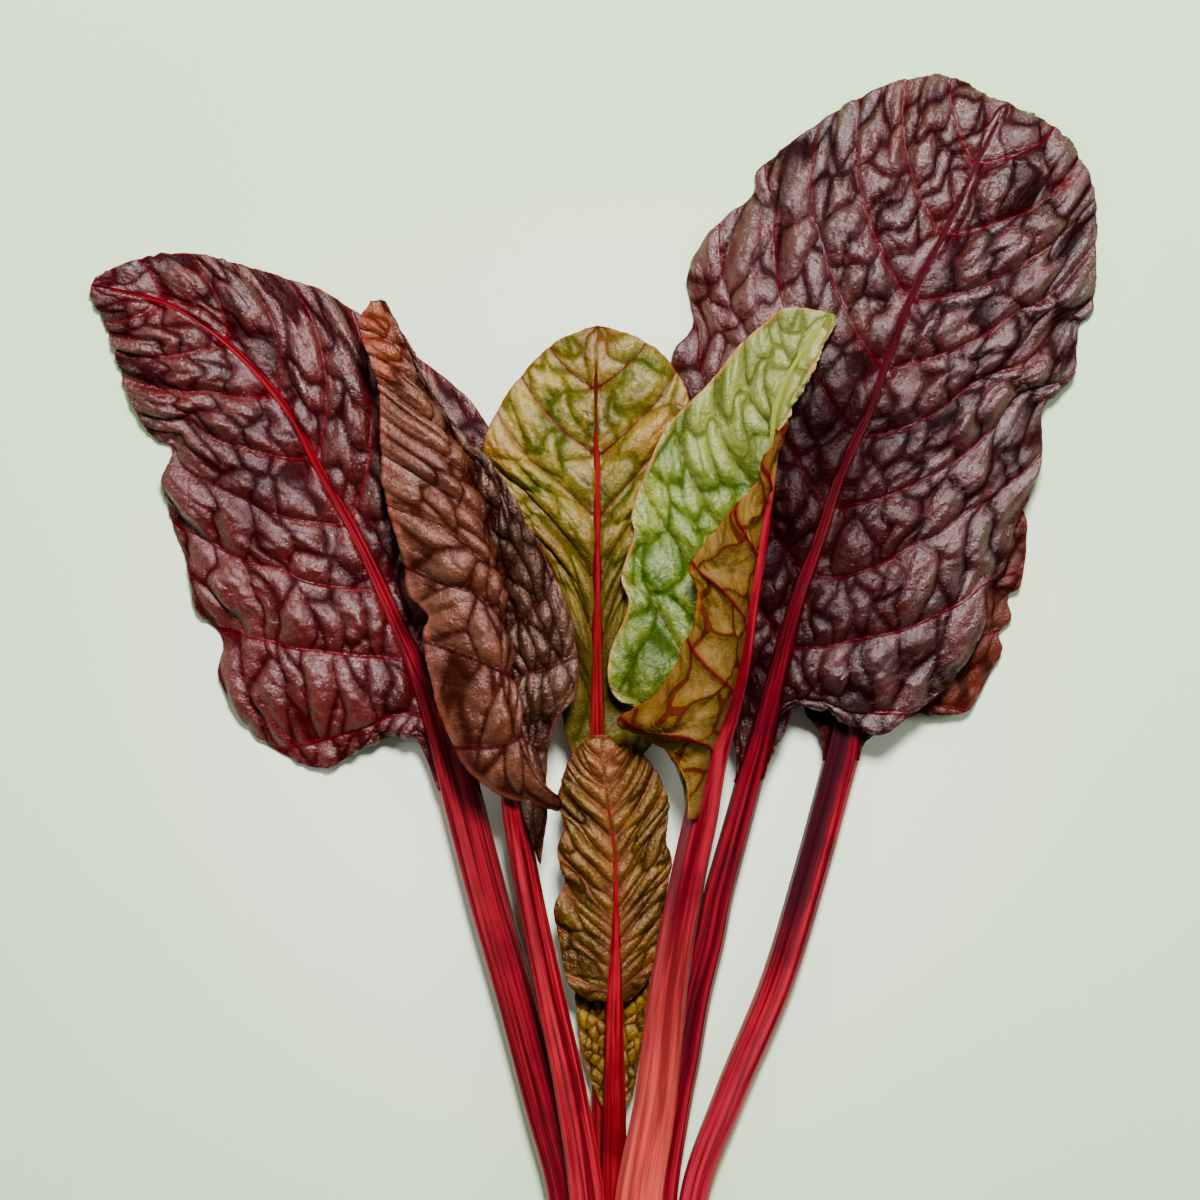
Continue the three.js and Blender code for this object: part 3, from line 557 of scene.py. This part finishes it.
def half_blade(leaf, side, place, distance):
    """Middle surface of one half: place runs from tip to base, distance from midrib to margin."""
    midrib = outline_curve(leaf["midrib"], leaf["mid_heights"])
    margin = outline_curve(leaf[side], leaf[side + "_heights"])
    swept = place - 4 * leaf["sweep"] * place * (1 - place) * distance ** ROW_BOW
    start = midrib(swept)
    span = margin(swept) - start
    width = np.linalg.norm(span, axis=-1)
    half_width, depth = rib_size(leaf, swept)
    rolled = leaf.get("centred")
    reach = np.hypot(half_width, depth) * ROLLED_REACH if rolled else half_width
    direction = midrib(swept + DIRECTION_STEP) - midrib(swept - DIRECTION_STEP)
    direction /= np.linalg.norm(direction, axis=-1, keepdims=True)
    square_width = np.linalg.norm(np.cross(direction, span), axis=-1)
    slot = np.minimum(reach / np.maximum(square_width, 1e-6), MOST_LET_IN)
    share = distance
    if leaf["name"] in RUNNING_DOWN:
        run_out = np.clip((place - RUN_OUT_START) / (1 - RUN_OUT_START), 0, 1) ** RUN_OUT_BOW
        share = distance * (1 - run_out * (1 - slot))
    sideways, up = leaf[side + "_arch"]
    arch = 4 * share * (1 - share) * width
    fade = np.minimum(1, np.minimum(4 * place, 4 * (1 - place)))
    turns = 2 * math.pi * leaf["ripples"] * place + RIPPLE_STARTS[side]
    points = start + span * share[..., None]
    points[..., 0] += sideways * arch
    points[..., 2] += up * arch + leaf["ripple"] * share ** 3 * np.sin(turns) * fade
    folded_over = leaf["name"] == "folded_bronze_leaf" and side == "left"
    if not rolled and not folded_over:
        inside = np.clip(1 - share / slot, 0, 1)
        points[..., 2] -= np.minimum(1, 3 * inside) * LET_IN_DEPTH * depth
    plan = {"width": width, "slot": slot, "length": midrib.length, "swept": swept}
    return points, plan


def vein_places(swept, distance, look, side):
    """Places on the midrib where the side veins through these points start. A vein leans more the
    nearer to the base it starts, so its start is found by closing in on it."""
    sweep, base_sweep = look["sweep"][0 if side == "left" else 1], look["sweep"][2]
    start = swept
    for _ in range(8):
        lean = sweep * (1 - start) * start * (2 + 3.4 * start)
        lean = lean + base_sweep * np.minimum(1, start) ** 0.7
        start = (start + np.maximum(swept + lean * distance ** look["bow"], 0)) / 2
    return start


def rounded(gap):
    """Ground that rises from a crease in a round curve: 0 in the crease, 1 beside it."""
    rise = np.minimum(1, gap / CREASE_WIDTH)
    return rise * (2 - rise)


def blade_relief(leaf, look, side, distance, plan):
    """Relief of the upper side in millimetres, with the place between two side veins and a value that
    falls to 0 along the creases between the bulges."""
    interval = plan["length"] / leaf["veins"]
    across = distance * plan["width"]
    vein_place = vein_places(plan["swept"], distance, look, side) * leaf["veins"]
    crease, dome, fine, crinkle = (np.zeros_like(across) for _ in range(4))
    depth = NOISE_DEPTHS[side]
    for spot in np.ndindex(across.shape):
        u, v = vein_place[spot] * interval, across[spot]
        vein_place[spot] += VEIN_STRAY * noise.noise((u / VEIN_WANDER, v / VEIN_WANDER, depth))
        row = math.floor(vein_place[spot])
        part = vein_place[spot] - row
        bend = ROW_BEND * noise.noise((u / BULGE_BEND, v / BULGE_BEND, depth + 3))
        along_row = v / look["ridge"] + bend - ROW_SLANT * part
        across_row = part * BULGES_ACROSS + ROW_BEND * bend + ROW_SHIFT * row
        nearest, second = noise.voronoi((across_row, along_row, depth))[0][:2]
        crease[spot] = second - nearest
        dome[spot] = 1 - min(1, nearest / DOME_RADIUS) ** 2
        small = (u / look["ridge"] * 1.1 + 50, along_row * 2, depth + 4)
        nearest, second = noise.voronoi(small)[0][:2]
        fine[spot] = second - nearest
        crinkle[spot] = noise.fractal((u / CRINKLE, v / CRINKLE, depth + 5), 0.6, 2.1, 4)
    arch = np.sqrt(np.abs(np.sin(math.pi * vein_place)))
    bulge, small = rounded(crease), rounded(fine)
    domes = dome * (1 - SMALL_BULGE_SHARE + SMALL_BULGE_SHARE * small)
    height = arch * (ARCH_SHARE + CREASE_SHARE * bulge + DOME_SHARE * domes) - SUNK_SHARE
    height += CRINKLE_SHARE * crinkle * (0.3 + arch)
    # The relief dies down towards the margin, the tip and the base.
    fade = np.minimum(1, 4 * (1 - distance) + 0.3)
    ends = np.minimum(1, np.minimum(8 * plan["swept"], 6 * (1 - plan["swept"])) + 0.1)
    edge = look["crinkle"] * distance ** 4 * crinkle
    return look["swell"] * fade * ends * height + edge, vein_place, np.minimum(bulge, 0.5 + small)


def patch_share(patches, points):
    """How strongly a set of patches shows at these points, from 0 to 1."""
    missed = np.ones(points.shape[:-1])
    for x, y, radius, strength in patches:
        distance = np.hypot(points[..., 0] - x, points[..., 1] - y) / radius
        missed *= 1 - strength * np.exp(-distance ** 2)
    return 1 - missed


def blade_points(leaf, look):
    """Grid points of a whole blade, from tip to base and from left margin to right margin."""
    rows, columns = look["grid"]
    middle = columns // 2
    shape = (rows + 1, columns + 1)
    points, plan, crease = np.zeros(shape + (3,)), np.zeros(shape + (3,)), np.zeros(shape)
    for side in ("left", "right"):
        left = side == "left"
        picked = np.arange(middle, -1, -1) if left else np.arange(middle, columns + 1)
        place = np.repeat(np.linspace(0, 1, rows + 1)[:, None], len(picked), axis=1)
        distance = np.repeat(np.linspace(0, 1, len(picked))[None, :], rows + 1, axis=0)
        surface, facts = half_blade(leaf, side, place, distance)
        lengthwise = np.gradient(surface, axis=0)
        crosswise = np.gradient(surface, axis=1) * (-1 if left else 1)
        normal = np.cross(lengthwise, crosswise)
        normal /= np.maximum(np.linalg.norm(normal, axis=-1, keepdims=True), 1e-9)
        height, vein_place, creases = blade_relief(leaf, look, side, distance, facts)
        # No relief inside the midrib, or where the blade is pressed flat.
        height *= np.clip(distance / np.maximum(facts["slot"], 1e-3) - 0.6, 0, 1)
        height *= 1 - patch_share(PRESSED_PATCHES.get(leaf["name"], []), surface)
        surface += normal * height[..., None]
        surface[..., 2] = np.maximum(surface[..., 2], LEAF_THICKNESS)
        points[:, picked] = surface
        across = distance * facts["width"]
        plan[:, picked] = np.stack([vein_place, across, facts["width"] - across], axis=-1)
        crease[:, picked] = creases
    return points, plan, crease


def to_metres(points):
    """Millimetres from the middle of the cut ends as metres in the frame."""
    moved = np.array(points, float)
    moved[..., 0] -= BUNCH_MIDDLE[0]
    moved[..., 1] -= BUNCH_MIDDLE[1]
    return moved * MM


def finished_piece(bm, name, materials):
    """Turns a bmesh into a smooth-shaded object at the origin."""
    mesh = bpy.data.meshes.new(name)
    for face in bm.faces:
        face.smooth = True
    bm.to_mesh(mesh)
    bm.free()
    for material in materials:
        mesh.materials.append(material)
    piece = bpy.data.objects.new(name, mesh)
    bpy.context.scene.collection.objects.link(piece)
    return piece


def new_grid(rows, columns):
    """A flat grid, with the row and column of each of its points."""
    bm = bmesh.new()
    bmesh.ops.create_grid(bm, x_segments=columns, y_segments=rows, size=1)
    spots = [(round((1 - v.co.y) / 2 * rows), round((v.co.x + 1) / 2 * columns)) for v in bm.verts]
    return bm, spots


def make_blade(leaf, materials):
    """A thin blade with its veins, bulges and waved margin. Materials: upper side and underside of the
    left half, then of the right half."""
    look = dict(zip(SURFACE_PARTS, SURFACES[leaf["name"]]))
    points, plan, crease = blade_points(leaf, look)
    # Patches painted darker, mostly painted shade where other leaves lie over this one and partly deeper
    # pigment, and patches tinged in colour.
    patches = (table.get(leaf["name"], []) for table in (SHADE_AND_PIGMENT_PATCHES, TINGED_PATCHES))
    shade_and_pigment, tinged = (patch_share(each, points) for each in patches)
    points = to_metres(points)
    bm, spots = new_grid(*look["grid"])
    plan_layer = bm.verts.layers.float_vector.new("plan")
    crease_layer = bm.verts.layers.float.new("crease")
    tone_layer = bm.verts.layers.float_vector.new("tone")
    for face in bm.faces:
        face.material_index = 2 if face.calc_center_median().x > 0 else 0
    for vert, spot in zip(bm.verts, spots):
        vert.co = points[spot]
        vert[plan_layer] = plan[spot]
        vert[crease_layer] = crease[spot]
        vert[tone_layer] = (shade_and_pigment[spot], tinged[spot], 0)
    piece = finished_piece(bm, leaf["name"] + "_fine_blade", materials)
    thicken = piece.modifiers.new("thickness", "SOLIDIFY")
    thicken.thickness = LEAF_THICKNESS * MM
    thicken.offset = 0
    thicken.material_offset = 1
    thicken.material_offset_rim = 0
    return piece


def smooth_section(steps):
    """The stalk's section as a smooth closed loop, a Catmull-Rom curve through its corners."""
    corners = np.asarray(STALK_SECTION, float)
    count = len(corners)
    place = np.arange(steps) / steps * count
    first = np.floor(place).astype(int)
    share = (place - first)[:, None]
    p0, p1, p2, p3 = (corners[(first + shift) % count] for shift in (-1, 0, 1, 2))
    bend = 2 * p0 - 5 * p1 + 4 * p2 - p3
    twist = -p0 + 3 * p1 - 3 * p2 + p3
    return 0.5 * (2 * p1 + (p2 - p0) * share + bend * share ** 2 + twist * share ** 3)


def stalk_line(leaf):
    """Points, sizes and lengths of the midrib and petiole in one, from tip to cut end."""
    midrib = outline_curve(leaf["midrib"], leaf["mid_heights"])
    petiole = outline_curve(leaf["petiole"], leaf["petiole_heights"])
    rib_places = np.linspace(MIDRIB_START, 1, MIDRIB_STATIONS)
    stem_places = np.linspace(0, 1, PETIOLE_STATIONS)[1:]
    points = np.vstack([midrib(rib_places), petiole(stem_places)])
    stem = np.asarray(leaf["petiole_size"], float)
    rib_width, rib_depth = rib_size(leaf, rib_places)
    widths = np.concatenate([rib_width, along(stem[:, 0], stem_places)])
    depths = np.concatenate([rib_depth, along(stem[:, 1], stem_places)])
    steps = np.linalg.norm(np.diff(points, axis=0), axis=1)
    return points, widths, depths, np.concatenate([[0], np.cumsum(steps)])


def make_stalk(leaf, materials):
    """A ribbed stalk that tapers into the midrib, with a clean cut end."""
    points, widths, depths, lengths = stalk_line(leaf)
    section = smooth_section(STALK_CORNERS)
    tangent = np.gradient(points, axis=0)
    across = np.stack([-tangent[:, 1], tangent[:, 0], np.zeros(len(points))], axis=1)
    across /= np.linalg.norm(across, axis=1, keepdims=True)
    roll = math.radians(leaf.get("roll", 0))
    shift = ROLLED_RISE if leaf.get("centred") else 0
    bm, spots = new_grid(len(points) - 1, STALK_CORNERS)
    fibre_layer = bm.verts.layers.float_vector.new("fibre")
    for vert, (station, corner) in zip(bm.verts, spots):
        angle = corner / STALK_CORNERS * 2 * math.pi
        side, height = section[corner % STALK_CORNERS]
        length, width = lengths[station], widths[station]
        at_seam = corner % STALK_CORNERS == 0
        waver = 0 if at_seam else noise.noise((length / RIDGE_WAVER, angle, 0.0))
        notch = (1 - math.cos(RIDGES * angle + waver)) / 2
        groove = 1 - RIDGE_DEPTH * notch / max(width, RIDGED_WIDTH)
        side = side * width * groove
        height = (height * groove + shift) * depths[station]
        spot = points[station] + across[station] * (side * math.cos(roll) - height * math.sin(roll))
        spot[2] += side * math.sin(roll) + height * math.cos(roll)
        vert.co = to_metres(spot)
        vert[fibre_layer] = (math.cos(angle) * width, math.sin(angle) * width, length)
    bmesh.ops.remove_doubles(bm, verts=bm.verts, dist=1e-6)
    rims = [edge for edge in bm.edges if edge.is_boundary]
    for cap in bmesh.ops.holes_fill(bm, edges=rims, sides=0)["faces"]:
        cap.material_index = 1
    bmesh.ops.recalc_face_normals(bm, faces=bm.faces)
    return finished_piece(bm, leaf["name"] + "_fine_stalk", materials)


def linear(hex_colour):
    """An sRGB hex value as linear red, green, blue and alpha."""
    channels = [int(hex_colour[i:i + 2], 16) / 255 for i in (1, 3, 5)]
    return [c / 12.92 if c <= 0.04045 else ((c + 0.055) / 1.055) ** 2.4 for c in channels] + [1]


def per_metre(size):
    """Scale of a pattern in metres whose marks are this many millimetres apart."""
    return 1 / (size * MM)


def add(tree, kind, inputs, **settings):
    """Adds a node with its settings, values and links. A node among the values is linked by its
    first output."""
    node = tree.nodes.new("ShaderNode" + kind)
    for setting, value in settings.items():
        setattr(node, setting, value)
    for socket, value in inputs.items():
        if isinstance(value, bpy.types.Node):
            value = value.outputs[0]
        if isinstance(value, bpy.types.NodeSocket):
            tree.links.new(value, node.inputs[socket])
        else:
            node.inputs[socket].default_value = value
    return node


def new_material(name):
    """An empty material with its tree of nodes."""
    material = bpy.data.materials.new(name)
    material.use_nodes = True
    material.node_tree.nodes.clear()
    return material, material.node_tree


def laid_over(tree, colour, layers):
    """Lays colours over a first one. Each layer: what it goes by, the values where it is strongest
    and where it is gone, its strength, its colour, and whether it fades evenly or smoothly."""
    for guide, strongest, gone, strength, over, fading in layers:
        ramp = {0: guide, 1: strongest, 2: gone, 3: strength, 4: 0.0}
        share = add(tree, "MapRange", ramp, interpolation_type=fading)
        colour = add(tree, "Mix", {0: share, 6: colour, 7: over}, data_type="RGBA").outputs[2]
    return colour


def blade_material(name, interval, colours, look):
    """Living leaf tissue under a waxy cuticle. To the eye: mottled pigment, painted paler on the crests of
    the bulges as painted light, and darker in the creases and where other leaves lie over it as painted
    shade, partly a net of fine veins, coloured veins, and a semi-gloss that breaks up over fine wrinkles."""
    material, tree = new_material(name)
    roughness, shine, tint, net, crease_net_and_shade_share, vein_share = look
    deep, light, crease, vein, margin, tinge = (linear(colour) for colour in colours)
    plan = add(tree, "Attribute", {}, attribute_name="plan").outputs["Vector"]
    vein_place, from_rib, from_margin = add(tree, "SeparateXYZ", {0: plan}).outputs
    creases = add(tree, "Attribute", {}, attribute_name="crease").outputs["Fac"]
    tone = add(tree, "Attribute", {}, attribute_name="tone").outputs["Vector"]
    shade_and_pigment, tinged, _ = add(tree, "SeparateXYZ", {0: tone}).outputs
    place = add(tree, "TexCoord", {}).outputs["Object"]
    marks = {"Vector": place, "Detail": 4.0, "Roughness": 0.6}
    spots, specks, wrinkles = (
        add(tree, "TexNoise", {**marks, "Scale": per_metre(size)}) for size in (TONE_PATCH, SPECK, WRINKLE)
    )
    mottle = add(tree, "Math", {0: specks, 1: 0.7, 2: spots}, operation="MULTIPLY_ADD")
    # Painted light: the crests of the bulges are painted paler.
    mottle = add(tree, "Math", {0: creases, 1: 0.3, 2: mottle}, operation="MULTIPLY_ADD")
    # Lines of the side veins: 1.3 mm wide at the midrib and 0.5 mm near the margin, less where the
    # veins stand close, with edges that fade over 0.4 mm.
    slim = min(1.0, interval / OPEN_INTERVAL)
    to_vein = add(tree, "Math", {0: vein_place, 1: 0.5}, operation="PINGPONG")
    to_vein = add(tree, "Math", {0: to_vein, 1: interval}, operation="MULTIPLY")
    half_line = add(tree, "MapRange", {0: from_rib, 1: 0.0, 2: 55.0, 3: 0.65 * slim, 4: 0.25 * slim})
    inside = add(tree, "Math", {0: half_line, 1: to_vein}, operation="SUBTRACT")
    line = add(tree, "MapRange", {0: inside, 1: -0.2, 2: 0.2})
    # The crease colour is painted shade in the creases between the bulges, and partly a net of fine veins.
    colour = laid_over(tree, deep, [
        (mottle, 1.3, 0.8, 1.0, light, "LINEAR"),
        (tinged, 1.0, 0.0, 0.8, tinge, "LINEAR"),
        (creases, 0.15, net, crease_net_and_shade_share, crease, "SMOOTHSTEP"),
        (from_rib, 2.0, 9.0, 0.3 * vein_share, vein, "SMOOTHSTEP"),
        (from_margin, 0.3, 1.6, 0.7, margin, "SMOOTHSTEP"),
        (to_vein, 0.4 * slim, 2.4 * slim, 0.45 * vein_share, vein, "SMOOTHSTEP"),
        (line, 1.0, 0.0, vein_share, vein, "LINEAR"),
        # Painted shade: the patches under other leaves are darkened towards the crease colour.
        (shade_and_pigment, 1.0, 0.0, 0.85, crease, "LINEAR"),
    ])
    # The shine is painted down in the creases and in the shaded patches under other leaves, as painted
    # shade, and the veins are matt.
    specular = add(tree, "MapRange", {0: creases, 1: 0.1, 2: 0.55, 3: 0.05, 4: shine})
    for guide, left_over in ((shade_and_pigment, 0.1), (line, 0.2)):
        share = add(tree, "MapRange", {0: guide, 3: 1.0, 4: left_over})
        specular = add(tree, "Math", {0: specular, 1: share}, operation="MULTIPLY")
    gloss = add(tree, "MapRange", {0: specks, 1: 0.35, 2: 0.65, 3: roughness - 0.08, 4: roughness + 0.12})
    height = add(tree, "Math", {0: line, 1: 0.5, 2: wrinkles}, operation="MULTIPLY_ADD")
    height = add(tree, "Math", {0: specks, 1: 1.2, 2: height}, operation="MULTIPLY_ADD")
    bump = add(tree, "Bump", {"Height": height, "Distance": WRINKLE_HEIGHT * MM, "Strength": 1.0})
    glare = [1 - tint + tint * channel / max(light[:3]) for channel in light[:3]]
    shader = add(tree, "BsdfPrincipled", {
        "Base Color": colour, "Roughness": gloss, "Normal": bump, "IOR": 1.43,
        "Specular IOR Level": specular, "Specular Tint": (*glare, 1.0),
    })
    add(tree, "OutputMaterial", {0: shader})
    return material


def stalk_material(name, colours, ends, wing):
    """Fleshy leaf stalk. To the eye: wet-looking red flesh with long fibres that show as light and
    dark streaks."""
    material, tree = new_material(name)
    deep, light, streak = (linear(colour) for colour in colours)
    tip_colour, tip_end, foot_colour, foot_start = ends
    fibre = add(tree, "Attribute", {}, attribute_name="fibre").outputs["Vector"]
    sideways, _, length = add(tree, "SeparateXYZ", {0: fibre}).outputs
    finer = (1 / FIBRE_WIDTH, 1 / FIBRE_WIDTH, 1 / FIBRE_LENGTH)
    stretched = add(tree, "Mapping", {0: fibre, 3: finer})
    fibres = add(tree, "TexNoise", {"Vector": stretched, "Scale": 1.0, "Detail": 4.0, "Roughness": 0.6})
    patches = add(tree, "TexNoise", {"Vector": fibre, "Scale": 1 / STALK_PATCH, "Detail": 3.0})
    # The colour of the foot comes in along the light fibres first.
    foot = {0: length, 1: foot_start, 2: foot_start + FOOT_FADE, 3: 0.0, 4: 0.7}
    foot = add(tree, "MapRange", foot, interpolation_type="SMOOTHSTEP")
    light_fibres = add(tree, "MapRange", {0: fibres, 1: 0.42, 2: 0.6, 3: 0.4, 4: 1.4})
    foot = add(tree, "Math", {0: foot, 1: light_fibres}, operation="MULTIPLY")
    layers = [
        (fibres, 0.6, 0.42, 1.0, light, "LINEAR"),
        (patches, 0.75, 0.45, 0.6, streak, "LINEAR"),
        (foot, 1.0, 0.0, 1.0, linear(foot_colour), "LINEAR"),
        (length, 0.4 * tip_end, tip_end, 1.0, linear(tip_colour), "SMOOTHSTEP"),
    ]
    if wing:
        wing_colour, wing_end = wing
        ends_at = {0: length, 1: wing_end - WING_FADE, 2: wing_end, 3: 1.0, 4: 0.0}
        one_side = {0: sideways, 1: 0.0, 2: WING_EDGE, 3: 1.0, 4: 0.0}
        first, second = (
            add(tree, "MapRange", ramp, interpolation_type="SMOOTHSTEP") for ramp in (ends_at, one_side)
        )
        share = add(tree, "Math", {0: first, 1: second}, operation="MULTIPLY")
        layers.append((share, 1.0, 0.0, 0.9, linear(wing_colour), "LINEAR"))
    # The thin midrib lies in a furrow of the blade, so it catches less light than the stalk.
    shine = add(tree, "MapRange", {0: length, 1: 60.0, 2: 260.0, 3: 0.06, 4: 0.42})
    bump = add(tree, "Bump", {"Height": fibres, "Distance": FIBRE_HEIGHT * MM, "Strength": 0.7})
    gloss = add(tree, "MapRange", {0: fibres, 1: 0.3, 2: 0.7, 3: 0.25, 4: 0.42})
    shader = add(tree, "BsdfPrincipled", {
        "Base Color": laid_over(tree, deep, layers), "Roughness": gloss, "Normal": bump, "IOR": 1.36,
        "Specular IOR Level": shine, "Subsurface Weight": 0.05, "Subsurface Scale": 2 * MM,
    })
    add(tree, "OutputMaterial", {0: shader})
    return material


def cut_end_material():
    """Wet cut stalk flesh. To the eye: pale pink, with darker bundles of fibres."""
    material, tree = new_material("wet_cut_stalk_flesh")
    place = add(tree, "TexCoord", {}).outputs["Object"]
    bundles = add(tree, "TexVoronoi", {"Vector": place, "Scale": per_metre(FIBRE_BUNDLE)})
    colour = laid_over(tree, linear("#d98c86"), [
        (bundles, 0.15, 0.4, 1.0, linear("#a8323c"), "SMOOTHSTEP"),
    ])
    bump = add(tree, "Bump", {"Height": bundles, "Distance": BUNDLE_HEIGHT * MM, "Strength": 0.4})
    shader = add(tree, "BsdfPrincipled", {
        "Base Color": colour, "Roughness": 0.35, "Normal": bump, "IOR": 1.38,
    })
    add(tree, "OutputMaterial", {0: shader})
    return material


def make_table():
    """A plain pale table top that the bunch lies on. To the eye: matt mint-white paint, with hardly any
    clouds in it, and a pool of light painted paler in its middle, under the leaves."""
    bm = bmesh.new()
    bmesh.ops.create_grid(bm, x_segments=1, y_segments=1, size=3)
    material, tree = new_material("pale_painted_table")
    place = add(tree, "TexCoord", {}).outputs["Object"]
    clouds = add(tree, "TexNoise", {"Vector": place, "Scale": per_metre(PAINT_CLOUD), "Detail": 2.0})
    from_middle = add(tree, "VectorMath", {0: place}, operation="LENGTH").outputs["Value"]
    colour = laid_over(tree, linear("#c4e6ac"), [
        (clouds, 1.0, 0.0, 1.0, linear("#d0ecbc"), "LINEAR"),
        # Painted light: the table is painted paler towards its middle, as a pool of light.
        (from_middle, 0.0, PAINTED_LIGHT_RADIUS, 1.0, linear("#f6fcea"), "SMOOTHSTEP"),
    ])
    shader = add(tree, "BsdfPrincipled", {"Base Color": colour, "Roughness": 0.8})
    add(tree, "OutputMaterial", {0: shader})
    floor = finished_piece(bm, "table_top", [material])


def make_light(name, place, size, power):
    """A square softbox that faces the middle of the bunch."""
    lamp = bpy.data.lights.new(name, "AREA")
    lamp.size = size
    lamp.energy = power
    holder = bpy.data.objects.new(name, lamp)
    holder.location = place
    holder.rotation_euler = (-Vector(place)).to_track_quat("-Z", "Y").to_euler()
    bpy.context.scene.collection.objects.link(holder)


def make_camera():
    """Looks straight down, so that the picture's pixels have their size at the height of the leaves."""
    middle = to_metres((0, (CUT_END_ROW - PICTURE_PIXELS / 2) * PIXEL, 0))
    camera = bpy.data.cameras.new("camera")
    camera.sensor_width = SENSOR_WIDTH
    camera.lens = SENSOR_WIDTH * (CAMERA_HEIGHT - LEAF_HEIGHT) / (PICTURE_PIXELS * PIXEL * MM)
    holder = bpy.data.objects.new("camera", camera)
    holder.location = (middle[0], middle[1], CAMERA_HEIGHT)
    bpy.context.scene.collection.objects.link(holder)
    bpy.context.scene.camera = holder


def make_world():
    """Weak, even light from everywhere, as in a white studio."""
    world = bpy.data.worlds.new("soft_studio")
    world.use_nodes = True
    background = world.node_tree.nodes["Background"]
    background.inputs["Color"].default_value = linear("#f4f6f0")
    background.inputs["Strength"].default_value = 0.14
    bpy.context.scene.world = world


make_camera()
make_world()
make_table()
for light in LIGHTS:
    make_light(*light)
cut_flesh = cut_end_material()
for leaf in LEAVES:
    name = leaf["name"]
    interval = outline_curve(leaf["midrib"], leaf["mid_heights"]).length / leaf["veins"]
    look = UPPER_LOOKS[name]
    upper = blade_material("waxy_" + name + "_upper_side", interval, UPPER_COLOURS[name], look)
    upper_right = upper
    if name in RIGHT_COLOURS:
        right_name = "waxy_" + name + "_right_half"
        upper_right = blade_material(right_name, interval, RIGHT_COLOURS[name], look)
    under = blade_material("dull_" + name + "_underside", interval, UNDER_COLOURS[name], UNDER_LOOK)
    flesh_name = "fleshy_" + name + "_stalk"
    flesh = stalk_material(flesh_name, STALK_COLOURS[name], END_COLOURS[name], WINGS.get(name))
    stalk = make_stalk(leaf, [flesh, cut_flesh])
    blade = make_blade(leaf, [upper, under, upper_right, under])
    for piece, part, slot in zip((stalk, blade), ("_stalk", "_blade"), SLOTS[name]):
        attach(piece, ROOT)
        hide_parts(name + part)
